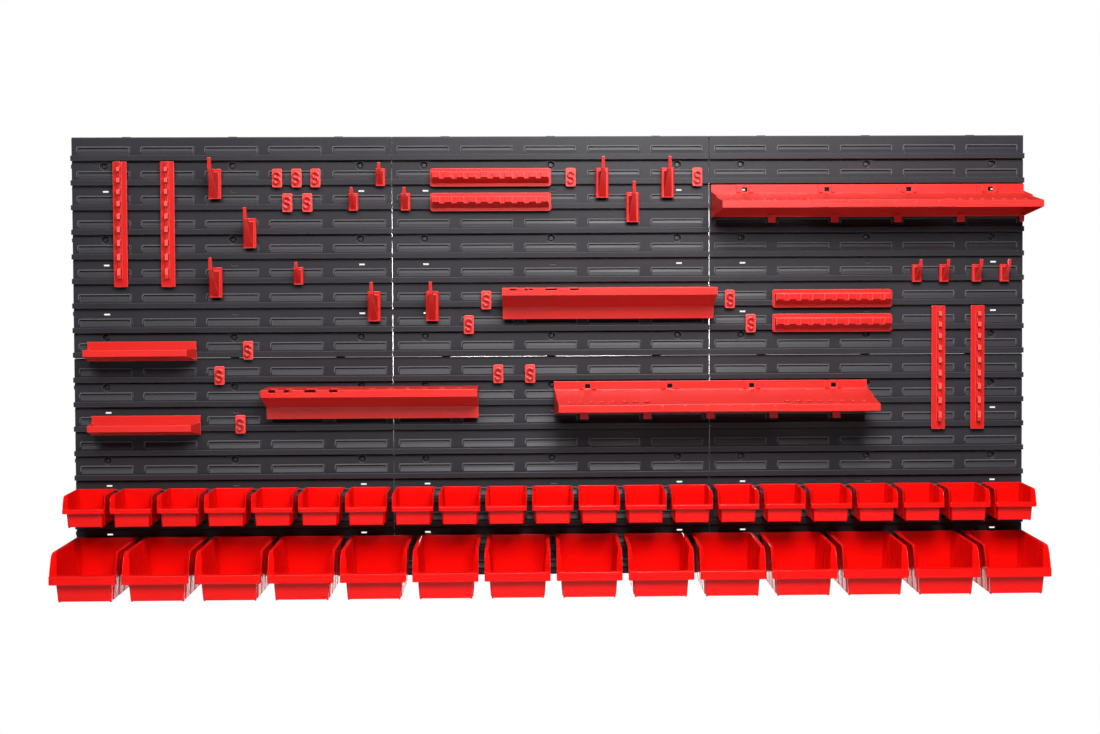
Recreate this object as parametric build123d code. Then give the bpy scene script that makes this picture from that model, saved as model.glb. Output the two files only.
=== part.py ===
from build123d import *
import os

# A louvred tool wall: six plastic panels screwed to a wall, hung with storage bins, shelves, tool racks,
# hooks and clips. The origin is the middle of the panels' back plane. X runs along the wall, Z is up,
# and the front faces -Y, so a depth in front of the wall is a negative Y.

# panels
PANEL_ROWS = 2
SEAM = 1.0
PANEL_W = 576.0
ROW_PITCH = 44.4
ROWS = 9
PANEL_H = ROWS * ROW_PITCH
SKIN = 2.4
FLAT = 12.0
RAIL_FRONT = 20.0
RAIL_BACK = 17.2
RAIL_TOP = 33.2
SLOT_FLOOR = 38.6
RAIL_BOTTOM = 42.4
GROOVE = 1.2
GROOVE_END = 1.2
POCKET_PITCH = 115.2
POCKET_W = 92.0
POCKETS = 5
POCKET_TOP = 16.9
CHEEK_BOTTOM = 27.0
BEAD = 1.2
BEAD_W = 1.7
RECESS = 9.2
RAMP_TOP = 20.0
RAMP_BEND = 25.0
RAMP_BOTTOM = 30.8
RAMP_OUT = 13.6
SIDE_TAB = 3.2
SIDE_TAB_ROWS = (2, 5, 8)
TOP_TAB = 1.4
TOP_TAB_PLACES = (-192, 0, 192)

# screws that hold the panels
SCREW_PITCH = 230.4
SCREW_ROWS = (2, 5, 9)
SCREW_DROP = 8.0
BOSS_R = 8.8
COUNTERBORE_R = 6.8
COUNTERBORE_FLOOR = 4.6
SCREW_HOLE_R = 3.2
SCREW_R = 2.0
SCREW_LENGTH = 36.0
HEAD_R = 3.9
HEAD_H = 2.6
SOCKET_R = 1.7
KEY_SLOT_ROWS = (3, 6, 8)
KEY_SLOT_W = 10.0
KEY_SLOT_H = 2.8
BLIND_FLOOR = 10.4

# what hangs on the rails
PLATE_BACK = 20.6
TONGUE_BACK = 14.2
TONGUE_FRONT = 16.6
TONGUE_END = 37.9
BRIDGE_TOP = 29.2
BRIDGE_BOTTOM = 32.6
PLATE_DROP = 13.8

# bins: width over the lip, depth, height, lip height above the floor, lip band, count, pitch, row, drop
BIN_BACK = 21.0
BIN_WALL = 2.0
SMALL_BIN = dict(width=73.0, depth=86.0, height=56.0, lip=33.0, band=8.0,
                 base=60.0, top=66.0, lean=5.0, flutes=2)
LARGE_BIN = dict(width=113.5, depth=156.0, height=84.0, lip=46.6, band=15.0,
                 base=91.0, top=102.0, lean=9.0, flutes=4)
SMALL_BINS = 21
SMALL_PITCH = 82.45
SMALL_BIN_ROW = 15
SMALL_BIN_DROP = 13.0
LARGE_BINS = 14
LARGE_PITCH = 124.1
LARGE_BIN_ROW = 17
LARGE_BIN_DROP = 12.6

# racks
RACK_W = 25.0
RACK_H = 226.0
RACK_PLATE = 2.6
RACK_FIN = 5.5
RACK_DEPTH = 12.0
RACK_TEETH = 9
RACK_GAP = 11.6
RACK_TOOTH = 7.4
NOTCH_DEPTH = 6.5
BAR_TEETH = 10
BAR_DEPTH = 24.0
BAR_W = 219.0
BAR_H = 33.0
BAR_PITCH = 21.7
BAR_TOOTH = 13.0

# shelves
LONG_SHELF_W = 572.0
LONG_SHELF_DEPTH = 112.0
LONG_SHELF_H = 59.0
SMALL_SHELF_W = 196.0
SMALL_SHELF_DEPTH = 52.0
SMALL_SHELF_H = 35.0
BOX_SHELF_W = 382.0
BOX_SHELF_DEPTH = 70.0
BOX_SHELF_H = 57.5
SHELF_SKIN = 2.4
LONG_SHELF_LEANS = (3.5, 0.5)
SMALL_SHELF_LEAN = 7.0
BOX_SHELF_RIBS = (47.0, 146.0, 226.0, 321.0)
BOX_SHELF_NOTCHES = ((19.4, 12.5), (47.3, 14.0), (87.0, 20.0), (128.0, 15.0))

# where each piece hangs: middle in X, and the row whose rail it hangs on, counted from the top
VERTICAL_RACKS = {"rack_vertical_left_1": (-776, 2), "rack_vertical_left_2": (-691, 2),
                  "rack_vertical_right_1": (707, 8), "rack_vertical_right_2": (779, 8)}
BAR_RACKS = {"rack_bar_centre_upper": (-109, 2), "rack_bar_centre_lower": (-109, 3),
             "rack_bar_right_upper": (512, 7), "rack_bar_right_lower": (512, 8)}
LARGE_HOOKS = ((-606, 2), (-544, 4), (-606, 6), (-321, 7), (-216, 7), (93, 2), (148, 3), (212, 2))
SMALL_HOOKS = ((-308, 2), (-357, 3), (-263, 3), (-457, 6), (667, 6), (717, 6), (777, 6), (828, 6))
CLIPS = ((-494, 2), (-459, 2), (-425, 2), (-476, 3), (-440, 3), (36, 2), (266, 2), (-118, 7),
         (-150, 8), (325, 7), (363, 8), (-549, 9), (-601, 10), (-564, 12), (-97, 10), (-39, 10))

TOP = (PANEL_ROWS * PANEL_H + SEAM) / 2


def row_top(row):
    """Height of the top of a row, counted from 1 at the top of the wall."""
    seams = SEAM if row > ROWS else 0.0
    return TOP - (row - 1) * ROW_PITCH - seams


def box(x0, x1, y0, y1, z0, z1):
    """A block between two corners."""
    middle = Pos((x0 + x1) / 2, (y0 + y1) / 2, (z0 + z1) / 2)
    return middle * Box(abs(x1 - x0), abs(y1 - y0), abs(z1 - z0))


def prism(outline, x0, x1):
    """An outline of (depth, height) points, depth counted forward from the wall, drawn out along X."""
    face = make_face(Polyline(*[(x0, -depth, height) for depth, height in outline], close=True))
    return extrude(face, amount=x1 - x0, dir=(1, 0, 0))


def bar(x, z, radius, depth0, depth1):
    """A round bar along Y between two depths."""
    middle = Pos(x, -(depth0 + depth1) / 2, z) * Rot(90, 0, 0)
    return middle * Cylinder(radius, depth1 - depth0)


def louvre_front(kind, top):
    """The front outline of one row, from its top down. A web is plain, a pocket has the ramp and recess."""
    proud = FLAT + BEAD
    rows = [(FLAT - GROOVE, 0.0), (FLAT - GROOVE, GROOVE_END), (FLAT, GROOVE_END)]
    if kind == "cheek":
        rows += [(FLAT, POCKET_TOP), (proud, POCKET_TOP), (proud, CHEEK_BOTTOM), (FLAT, CHEEK_BOTTOM)]
    if kind == "pocket":
        bead_bottom = POCKET_TOP + BEAD_W
        bend = RECESS + (RAMP_OUT - RECESS) * 0.3
        rows += [(FLAT, POCKET_TOP), (proud, POCKET_TOP), (proud, bead_bottom), (RECESS, bead_bottom)]
        rows += [(RECESS, RAMP_TOP), (bend, RAMP_BEND), (RAMP_OUT, RAMP_BOTTOM), (RAMP_OUT, SLOT_FLOOR)]
    else:
        rows += [(FLAT, SLOT_FLOOR)]
    rows += [(RAIL_BACK, SLOT_FLOOR), (RAIL_BACK, RAIL_TOP), (RAIL_FRONT, RAIL_TOP)]
    rows += [(RAIL_FRONT, RAIL_BOTTOM), (FLAT - GROOVE, RAIL_BOTTOM + 0.8)]
    return [(depth, top - drop) for depth, drop in rows]


def louvre_back(kind, top):
    """The back outline of one row, from its bottom up, one skin behind the front."""
    inner = FLAT - SKIN
    floor = RECESS - SKIN
    high = POCKET_TOP - 0.6
    rows = []
    if kind == "pocket":
        rows += [(inner, 41.2), (RAMP_OUT - SKIN, 41.2), (RAMP_OUT - SKIN, RAMP_BOTTOM + 1)]
        rows += [(floor, RAMP_BEND), (floor, high), (inner, high)]
    if kind == "cheek":
        rows += [(inner, RAMP_BOTTOM), (floor, RAMP_BOTTOM), (floor, high), (inner, high)]
    return [(depth, top - drop) for depth, drop in rows]


def panel_strip(kind, x0, x1):
    """A full-height strip of panel, all nine rows, between two places along X."""
    outline = []
    for row in range(ROWS):
        outline += louvre_front(kind, PANEL_H - row * ROW_PITCH)
    outline.append((FLAT - GROOVE, 0.0))
    if kind == "wall":
        outline += [(0.0, 0.0), (0.0, PANEL_H)]
        return prism(outline, x0, x1)
    outline.append((FLAT - SKIN, 0.0))
    for row in reversed(range(ROWS)):
        outline += louvre_back(kind, PANEL_H - row * ROW_PITCH)
    outline.append((FLAT - SKIN, PANEL_H))
    return prism(outline, x0, x1)


def pocket_middles():
    """The middles of a panel's five pocket columns."""
    return [(column - (POCKETS - 1) / 2) * POCKET_PITCH for column in range(POCKETS)]


def panel_skin():
    """The louvred front: pocket strips with a cheek each side, plain webs between, solid ends."""
    half = PANEL_W / 2
    cheek_half = POCKET_W / 2 + BEAD_W
    strips = [panel_strip("wall", -half, SKIN - half), panel_strip("wall", half - SKIN, half)]
    left = SKIN - half
    for middle in pocket_middles():
        strips.append(panel_strip("web", left, middle - cheek_half))
        strips.append(panel_strip("cheek", middle - cheek_half, middle - POCKET_W / 2))
        strips.append(panel_strip("pocket", middle - POCKET_W / 2, middle + POCKET_W / 2))
        strips.append(panel_strip("cheek", middle + POCKET_W / 2, middle + cheek_half))
        left = middle + cheek_half
    strips.append(panel_strip("web", left, half - SKIN))
    return strips


def panel_ribs():
    """The closed top and bottom edges and the ribs that stand the skin off the wall."""
    half = PANEL_W / 2
    inside = FLAT - 1.0
    ribs = [box(-half, half, -inside, 0, PANEL_H - SKIN, PANEL_H), box(-half, half, -inside, 0, 0, SKIN)]
    for gap in range(1, POCKETS):
        x = (gap - POCKETS / 2) * POCKET_PITCH
        ribs.append(panel_strip("wall", x - 1, x + 1))
    for row in SCREW_ROWS:
        z = PANEL_H - (row - 1) * ROW_PITCH - SCREW_DROP
        ribs.append(box(-half, half, -inside, 0, z - 1, z + 1))
    return ribs


def screw_places():
    """Where the nine screws go in one panel, from its bottom middle."""
    return [(column * SCREW_PITCH, PANEL_H - (row - 1) * ROW_PITCH - SCREW_DROP)
            for row in SCREW_ROWS for column in (-1, 0, 1)]


def build_panel():
    """One panel, with its bottom middle at the origin."""
    half = PANEL_W / 2
    bosses = [bar(x, z, BOSS_R, 0, FLAT - 1) for x, z in screw_places()]
    tongues, sockets = [], []
    for row in SIDE_TAB_ROWS:
        z = PANEL_H - (row - 1) * ROW_PITCH - SCREW_DROP
        tongues.append(box(-half - SIDE_TAB, 1 - half, -6, -2.5, z - 3.5, z + 3.5))
        sockets.append(box(half - SKIN - 1, half + 1, -7, -1.5, z - 4.5, z + 4.5))
    for x in TOP_TAB_PLACES:
        tongues.append(box(x - 8, x + 8, -3, 0, PANEL_H - 1, PANEL_H + TOP_TAB))
        sockets.append(box(x - 9, x + 9, -4, 0.01, -1, SKIN + 3))
    skin = panel_skin()
    panel = skin[0].fuse(*skin[1:], *panel_ribs(), *bosses, *tongues)
    holes = [bar(x, z, COUNTERBORE_R, COUNTERBORE_FLOOR, FLAT + 6) for x, z in screw_places()]
    holes += [bar(x, z, SCREW_HOLE_R, -1, COUNTERBORE_FLOOR + 1) for x, z in screw_places()]
    for row in KEY_SLOT_ROWS:
        z = PANEL_H - (row - 1) * ROW_PITCH - SCREW_DROP
        for column in (-1, 0, 1):
            x = column * SCREW_PITCH + 3
            floor = BLIND_FLOOR if column == 0 else 2.0
            holes.append(box(x - KEY_SLOT_W / 2, x + KEY_SLOT_W / 2, -FLAT - 1, -floor, z - KEY_SLOT_H, z))
    return panel.cut(*holes, *sockets)


def build_screw():
    """A pan-head screw along Y with a hexagon socket, its head's underside on the counterbore floor."""
    seat = COUNTERBORE_FLOOR
    shank = bar(0, 0, SCREW_R, seat - SCREW_LENGTH + 4, seat + 1)
    point = Pos(0, SCREW_LENGTH - seat - 2, 0) * Rot(-90, 0, 0) * Cone(SCREW_R, 0.3, 4)
    head = bar(0, 0, HEAD_R, seat, seat + HEAD_H)
    head = fillet(head.edges().filter_by(GeomType.CIRCLE).sort_by(Axis.Y)[0], 1.2)
    socket = extrude(Plane.XZ.offset(seat + 1.2) * RegularPolygon(SOCKET_R, 6), amount=HEAD_H)
    return (head + shank + point) - socket


def rail_tongue(x, width, row):
    """The hook behind a piece: a bridge over the top of the rail and a tongue down into the slot."""
    z = row_top(row)
    outline = [(PLATE_BACK + 1, z - BRIDGE_TOP), (TONGUE_BACK, z - BRIDGE_TOP), (TONGUE_BACK, z - TONGUE_END),
               (TONGUE_FRONT, z - TONGUE_END), (TONGUE_FRONT, z - BRIDGE_BOTTOM),
               (PLATE_BACK + 1, z - BRIDGE_BOTTOM)]
    return prism(outline, x - width / 2, x + width / 2)


def tapered_box(half0, half1, front0, front1, back, z0, z1):
    """A block whose width and front move between two heights."""
    lower = [(-half0, -back, z0), (half0, -back, z0), (half0, -front0, z0), (-half0, -front0, z0)]
    upper = [(-half1, -back, z1), (half1, -back, z1), (half1, -front1, z1), (-half1, -front1, z1)]
    faces = [lower, upper]
    for i in range(4):
        after = (i + 1) % 4
        faces.append([lower[i], lower[after], upper[after], upper[i]])
    return Solid(Shell([make_face(Polyline(*corners, close=True)).face() for corners in faces]))


def bin_profile(size, inset):
    """The side view of a bin's upper edge: level from the back, then a steep drop to the lip."""
    d, h, lip = size["depth"], size["height"], size["lip"]
    corner, top, far = h * 0.16, h - inset, BIN_BACK - inset
    return [(BIN_BACK, top), (far + d * 0.84, top), (far + d * 0.9, top - corner * 0.5),
            (far + d * 0.93, top - corner * 1.3), (far + d - 4, lip - inset)]


def build_bin(size, tongues):
    """An open-fronted bin, standing on the origin's level with its back BIN_BACK in front of the wall."""
    w, d, h, lip = size["width"], size["depth"], size["height"], size["lip"]
    half0, half1 = size["base"] / 2, size["top"] / 2
    front1 = BIN_BACK + d - 6
    front0 = front1 - size["lean"]
    wall = BIN_WALL
    body = tapered_box(half0, half1, front0, front1, BIN_BACK, 0, h)
    flutes = []
    cavity = tapered_box(half0 - wall, half1 - wall, front0 - wall, front1 - wall, BIN_BACK + wall,
                         wall, h + 0.01)
    dimples = []
    step = (d - 14) / size["flutes"]
    for i in range(size["flutes"]):
        start = BIN_BACK + 5 + i * step
        flutes.append(tapered_box(half0 + 1.4, half1 + 1.4, start + step - 5, start + step - 5, start, 0, h))
        dimples.append(tapered_box(half0 + 1.4 - wall, half1 + 1.4 - wall, start + step - 5 - wall,
                                   start + step - 5 - wall, start + wall, wall, h + 0.01))
    edge = bin_profile(size, 0)
    inner_edge = bin_profile(size, 2.6)
    foot_of_flange = [(BIN_BACK + d - 4, lip - 4), (BIN_BACK + d - 7, lip - 4)]
    flange = prism(edge + foot_of_flange + inner_edge[::-1], -w / 2, w / 2)
    back_rim = box(-w / 2, w / 2, -BIN_BACK - 4, -BIN_BACK, h - 2.6, h)
    band = box(-w / 2, w / 2, -BIN_BACK - d, -BIN_BACK - d + 7, lip - size["band"], lip)
    band = fillet(band.edges().filter_by(Axis.Z), 3.0)
    feet = [box(side * half0 - 3 * side, side * half0 - 0.4 * side, -front0 + 3, -front0 + 10, -1.6, 1)
            for side in (-1, 1)]
    shell = body.fuse(*flutes, flange, back_rim, band, *feet)
    high = h + 5
    opening = prism([(BIN_BACK - 2, high)] + [(BIN_BACK - 2, h)] + edge[1:]
                    + [(BIN_BACK + d + 5, lip), (BIN_BACK + d + 5, high)], -w, w)
    return shell.cut(cavity, *dimples, opening).fuse(*tongues)


def bin_at(size, x, row, drop, spread, tongue_w):
    """A bin hung with its top a drop below a row's top."""
    floor = row_top(row) - drop - size["height"]
    tongues = [Pos(0, 0, -floor) * rail_tongue(side * spread, tongue_w, row) for side in (-1, 1)]
    return Pos(x, 0, floor) * build_bin(size, tongues)


def build_vertical_rack(x, row):
    """An upright plate with a toothed fin, the teeth and the gaps above them growing towards the bottom."""
    top = row_top(row)
    front = PLATE_BACK + RACK_PLATE
    tip = front + RACK_DEPTH
    plate = box(x - RACK_W / 2, x + RACK_W / 2, -front, -PLATE_BACK, top - RACK_H, top)
    plate = fillet(plate.edges().filter_by(Axis.Y), 2.0)
    notches = []
    z = top + 1
    for tooth in range(RACK_TEETH):
        gap = RACK_GAP + 0.45 * tooth
        notches.append(box(x - RACK_FIN, x + RACK_FIN, -tip - 1, -tip + NOTCH_DEPTH, z - gap, z))
        z -= gap + RACK_TOOTH + 0.5 * tooth
    fin = box(x - RACK_FIN / 2, x + RACK_FIN / 2, -tip, -front + 0.5, z - 6, top)
    hooks = [rail_tongue(x, 16, row + step) for step in (0, 2, 4)]
    return plate.fuse(fin, *hooks).cut(*notches)


def build_bar_rack(x, row):
    """A long plate with a shelf in front, its edge cut into teeth, and a wall sloping back under it."""
    top = row_top(row) - PLATE_DROP
    front = PLATE_BACK + RACK_PLATE
    tip = front + BAR_DEPTH
    plate = box(x - BAR_W / 2, x + BAR_W / 2, -front, -PLATE_BACK, top - BAR_H, top)
    plate = fillet(plate.edges().filter_by(Axis.Y), 5.0)
    shelf_top, shelf_bottom, lip_bottom = top - 7.0, top - 10.0, top - 17.0
    x0, x1 = x - BAR_W / 2 + 4, x + BAR_W / 2 - 4
    ledge = prism([(front - 0.5, shelf_top), (tip, shelf_top), (tip, lip_bottom), (front - 0.5, top - 28),
                   (front - 0.5, top - 25), (tip - 3, lip_bottom + 2), (tip - 3, shelf_bottom),
                   (front - 0.5, shelf_bottom)], x0, x1)
    notches = []
    for gap in range(BAR_TEETH - 1):
        middle = x + (gap - (BAR_TEETH - 2) / 2) * BAR_PITCH
        half = (BAR_PITCH - BAR_TOOTH) / 2
        notches.append(box(middle - half, middle + half, -tip - 1, -tip + 5, lip_bottom + 0.5, top))
    ends = [prism([(front - 0.5, shelf_top - 1), (tip - 1, shelf_top - 1), (tip - 1, lip_bottom + 1),
                   (front - 0.5, top - 27)], end, end + SHELF_SKIN) for end in (x0, x1 - SHELF_SKIN)]
    hooks = [rail_tongue(x + side * 88, 20, row) for side in (-1, 1)]
    return plate.fuse(ledge, *ends, *hooks).cut(*notches)


def hook_plate(x, top, width, height, radius):
    """A thin plate with rounded edges down both sides."""
    front = PLATE_BACK + 3.4
    plate = box(x - width / 2, x + width / 2, -front, -PLATE_BACK, top - height, top)
    return fillet(plate.edges().filter_by(Axis.Z).group_by(Axis.Y)[0], radius)


def hook_arm(x, outline, root_half, tip_half):
    """An arm with the given side outline, its width narrowing from the plate out to the tip."""
    near, far = outline[0][0], max(depth for depth, height in outline)
    low, high = min(height for depth, height in outline), max(height for depth, height in outline)
    plan = Polyline((x - root_half, -near, low - 1), (x - tip_half, -far, low - 1),
                    (x + tip_half, -far, low - 1), (x + root_half, -near, low - 1), close=True)
    taper = extrude(make_face(plan), amount=high - low + 2, dir=(0, 0, 1))
    return prism(outline, x - root_half, x + root_half) & taper


def build_large_hook(x, row):
    """A plate with an arm that rises from its foot to an upturned tip in front."""
    top = row_top(row) - PLATE_DROP
    plate = hook_plate(x, top, 24.0, 54.0, 2.6)
    root = PLATE_BACK + 3.0
    arm = hook_arm(x, [(root, top - 53), (root + 30, top - 20), (root + 44, top - 3), (root + 47, top + 18),
                       (root + 42, top + 18), (root + 37, top - 1), (root + 30, top - 7), (root, top - 6)],
                   7.0, 2.6)
    return plate.fuse(arm, rail_tongue(x, 18, row))


def build_small_hook(x, row):
    """The small hook: a short plate with a short rising arm."""
    top = row_top(row) - PLATE_DROP
    plate = hook_plate(x, top, 18.0, 31.5, 2.4)
    root = PLATE_BACK + 3.0
    arm = hook_arm(x, [(root, top - 30), (root + 20, top - 11), (root + 27, top - 3),
                       (root + 30, top + 9.6), (root + 25.5, top + 9.6), (root + 22, top - 1.5),
                       (root + 18, top - 5), (root, top - 4)], 5.0, 2.6)
    return plate.fuse(arm, rail_tongue(x, 12, row))


def build_clip(x, row):
    """A small plate with an S-shaped ridge standing on its front."""
    top = row_top(row) - PLATE_DROP
    front = PLATE_BACK + 2.6
    plate = box(x - 9, x + 9, -front, -PLATE_BACK, top - 33.5, top)
    plate = fillet(plate.edges().filter_by(Axis.Y), 3.0)
    bends = []
    for side in (1, -1):
        z = top - 16.75 + side * 5.0
        ring = bar(x, z, 6.4, front - 0.5, front + 6) - bar(x, z, 3.6, front - 1, front + 7)
        gap = box(x, x + side * 8, -front - 7, -front + 0.6, z - side * 7, z)
        bends.append(ring - gap)
    return plate.fuse(*bends, rail_tongue(x, 12, row))


def beyond_cheek(x, side, lean):
    """The space outside a shelf's end that leans in by an angle from the back to the front."""
    return Pos(x, -PLATE_BACK, 0) * Rot(0, 0, -side * lean) * box(0, side * 60, -200, 0, -500, 500)


def tray_shelf(x0, x1, top, depth, height, strip, slope, lip_h, leans):
    """A shelf with an upright back, a floor that slopes down to a front lip, and a cheek at each end.

    The back stands a strip above the floor, and each end leans in by its own angle."""
    back, front = PLATE_BACK, PLATE_BACK + depth
    low = top - strip - slope
    lip_bottom = low - lip_h + 2
    plate = box(x0, x1, -back - SHELF_SKIN, -back, top - height, top)
    floor = prism([(back, top - strip), (front, low), (front, low - SHELF_SKIN),
                   (back, top - strip - SHELF_SKIN)], x0, x1)
    lip = box(x0, x1, -front, -front + SHELF_SKIN, lip_bottom, low + 2)
    cheek = [(back, top - strip + 3), (back + depth * 0.45, top - strip - slope * 0.3),
             (back + depth * 0.5, top - strip - slope * 0.5), (front, low + 2), (front, lip_bottom),
             (back, top - height)]
    shelf = plate.fuse(floor, lip)
    for x, side, lean in ((x0, -1, leans[0]), (x1, 1, leans[1])):
        wall = prism(cheek, 0, SHELF_SKIN) if side < 0 else prism(cheek, -SHELF_SKIN, 0)
        turned = Pos(x, -back, 0) * Rot(0, 0, -side * lean) * Pos(0, back, 0) * wall
        shelf = shelf.cut(beyond_cheek(x, side, lean)).fuse(turned)
    return shelf - box(x0 - 1, x1 + 1, -back, 0, -500, 500)


def clip_places(left):
    """The middles of the four clips along a long shelf's back."""
    return [left + 61.4 + i * 149.7 for i in range(4)]


def long_shelf_trim(left, top, low, first_foot):
    """What is added to the long shelf: bars beside the clips, feet, and a proud middle stretch of lip."""
    front, face = PLATE_BACK + LONG_SHELF_DEPTH, PLATE_BACK + SHELF_SKIN
    extras = []
    for middle in clip_places(left):
        for side in (-1, 1):
            bar_middle = middle + side * 11.5
            extras.append(box(bar_middle - 4, bar_middle + 4, -face - 3, -face + 0.5, top - 14, top))
    foot_top, foot_bottom = top - LONG_SHELF_H + 4, top - LONG_SHELF_H - 10
    for i in range(6):
        foot = first_foot + i * POCKET_PITCH
        x0, x1 = max(foot - 7, 0), min(foot + 7, LONG_SHELF_W)
        if x1 - x0 > 3:
            extras.append(box(left + x0, left + x1, -PLATE_BACK - 5, -PLATE_BACK, foot_bottom, foot_top))
    extras.append(box(left + 163, left + 415, -front - 1.2, -front + 1, low - 9, low + 3.4))
    for i in range(6):
        rib = left + 188 + i * 39.5
        extras.append(box(rib - 1.5, rib + 1.5, -front - 3, -front, low - 9, low + 1))
    return extras


def long_shelf_holes(left, top, low):
    """What is cut from the long shelf: clip windows, slots along the back, and rows of tool holes."""
    front, face = PLATE_BACK + LONG_SHELF_DEPTH, PLATE_BACK + SHELF_SKIN
    holes = [box(middle - 4.5, middle + 4.5, -face - 1, -PLATE_BACK + 1, top - 13, top - 5)
             for middle in clip_places(left)]
    for i in range(9):
        slot = left + 38 + i * 62
        holes.append(box(slot - 13, slot + 13, -face - 9, -face - 4, top - 25, top - 8))
    for i in range(8):
        radius = 4.4 + 0.35 * i
        for place in (26 + i * 19.5, LONG_SHELF_W - 24 - i * 19.5):
            holes.append(Pos(left + place, -front + 27, low + 5) * Cylinder(radius, 30))
    return holes


def build_long_shelf(x, row, first_foot):
    """The long shelf, its feet counted from the first one's place along it."""
    left, top = x - LONG_SHELF_W / 2, row_top(row) - 0.6
    strip, slope = 15.0, 20.0
    shelf = tray_shelf(left, left + LONG_SHELF_W, top, LONG_SHELF_DEPTH, LONG_SHELF_H, strip, slope, 12.0,
                       LONG_SHELF_LEANS)
    low = top - strip - slope
    hooks = [rail_tongue(left + 57.6 + i * 152.3, 24, row) for i in range(4)]
    return shelf.fuse(*long_shelf_trim(left, top, low, first_foot), *hooks).cut(
        *long_shelf_holes(left, top, low))


def build_small_shelf(x, row):
    """The small shelf: a tray with a raised back and a wall sloping back under it."""
    left, right, top = x - SMALL_SHELF_W / 2, x + SMALL_SHELF_W / 2, row_top(row) - PLATE_DROP
    back, front = PLATE_BACK, PLATE_BACK + SMALL_SHELF_DEPTH
    lip_top, lip_bottom, bottom = top - 12.5, top - 23.5, top - SMALL_SHELF_H
    outer = [(back, lip_top), (front, lip_top), (front, lip_bottom), (back, bottom)]
    body = prism(outer, left, right)
    inner = prism([(back + SHELF_SKIN, top), (front - SHELF_SKIN, top), (front - SHELF_SKIN, lip_bottom + 2),
                   (back + SHELF_SKIN, bottom + 3)], left, right)
    for end, side in ((left, -1), (right, 1)):
        body = body.cut(beyond_cheek(end, side, SMALL_SHELF_LEAN))
        inner = inner.cut(beyond_cheek(end - side * SHELF_SKIN, side, SMALL_SHELF_LEAN))
    plate = box(left, right, -back - SHELF_SKIN, -back, bottom, top)
    hooks = [rail_tongue(x + side * 60, 24, row) for side in (-1, 1)]
    return body.cut(inner).fuse(plate, *hooks)


def build_box_shelf(x, row):
    """A deep holder: a notched top, an upright front band, an underside that falls back to a low wall."""
    top = row_top(row) - 7.5
    bottom = top - BOX_SHELF_H
    back, front = PLATE_BACK, PLATE_BACK + BOX_SHELF_DEPTH
    left, right = x - BOX_SHELF_W / 2, x + BOX_SHELF_W / 2
    band, heel = top - 13.0, top - 36.0
    skin = SHELF_SKIN
    outer = [(back, top), (front, top), (front, band), (front - 5, band - 2), (back + 13, heel),
             (back + 10, bottom), (back, bottom)]
    inner = [(back - 1, top - skin), (front - skin, top - skin), (front - skin, band + 1),
             (front - 5 - skin, band + 0.5), (back + 10, heel + 1), (back + 7.6, bottom + skin),
             (back - 1, bottom + skin)]
    shell = prism(outer, left, right) - prism(inner, left + skin, right - skin)
    ribs = [prism([(back, top - 1), (front - 4, top - 1), (front - 4, band), (back + 9, heel),
                   (back + 8, bottom + 1), (back, bottom + 1)], left + place - 1, left + place + 1)
            for place in BOX_SHELF_RIBS]
    top_bar = box(left, right, -back - SHELF_SKIN, -back, top - 40, top)
    notches = []
    for place, width in BOX_SHELF_NOTCHES:
        x0, x1 = left + place - width / 2, left + place + width / 2
        notches.append(box(x0, x1, -front - 1, -front + 30, top - 4.4, top + 1))
    for i in range(6):
        notches.append(Pos(left + 196 + i * 31, -front + 24, top) * Cylinder(9.0, 12))
    hooks = [rail_tongue(left + 57.6 + i * 133.4, 24, row) for i in range(3)]
    return shell.fuse(*ribs, top_bar, *hooks).cut(*notches)


def save(shape, name):
    """Write one node."""
    shape.label = name
    export_step(shape, f"parts/{name}.step")


def main():
    """Build every node and write it."""
    os.makedirs("parts", exist_ok=True)
    panel = build_panel()
    screw = build_screw()
    screws = []
    for level, name in ((1, "upper"), (0, "lower")):
        base = -TOP + level * (PANEL_H + SEAM)
        for column, side in ((-1, "left"), (0, "centre"), (1, "right")):
            middle = column * (PANEL_W + SEAM)
            save(Pos(middle, 0, base) * panel, f"panel_{name}_{side}")
            screws += [Pos(middle + x, 0, base + z) * screw for x, z in screw_places()]
    save(Compound(screws), "wall_screws")

    small = bin_at(SMALL_BIN, 0, SMALL_BIN_ROW, SMALL_BIN_DROP, 18, 14)
    for i in range(SMALL_BINS):
        save(Pos((i - (SMALL_BINS - 1) / 2) * SMALL_PITCH, 0, 0) * small, f"small_bin_{i + 1:02d}")
    large = bin_at(LARGE_BIN, 0, LARGE_BIN_ROW, LARGE_BIN_DROP, 30, 18)
    for i in range(LARGE_BINS):
        save(Pos((i - (LARGE_BINS - 1) / 2) * LARGE_PITCH, 0, 0) * large, f"large_bin_{i + 1:02d}")

    for name, (x, row) in VERTICAL_RACKS.items():
        save(build_vertical_rack(x, row), name)
    for name, (x, row) in BAR_RACKS.items():
        save(build_bar_rack(x, row), name)
    save(Compound([build_large_hook(x, row) for x, row in LARGE_HOOKS]), "large_hooks")
    save(Compound([build_small_hook(x, row) for x, row in SMALL_HOOKS]), "small_hooks")
    save(Compound([build_clip(x, row) for x, row in CLIPS]), "tool_clips")

    save(build_long_shelf(577, 3, -4.8), "long_shelf_upper")
    save(build_long_shelf(290, 11, 54.8), "long_shelf_lower")
    save(build_box_shelf(103, 7), "box_shelf_upper")
    save(build_box_shelf(-324, 11), "box_shelf_lower")
    save(build_small_shelf(-740, 9), "small_shelf_upper")
    save(build_small_shelf(-734, 12), "small_shelf_lower")


main()
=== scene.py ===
"""A louvred tool wall: six anthracite panels screwed to a wall and hung with red bins, shelves and hooks.

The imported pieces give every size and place, in metres. X runs along the wall, Z is up, the front is -Y.
"""
import math

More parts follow.
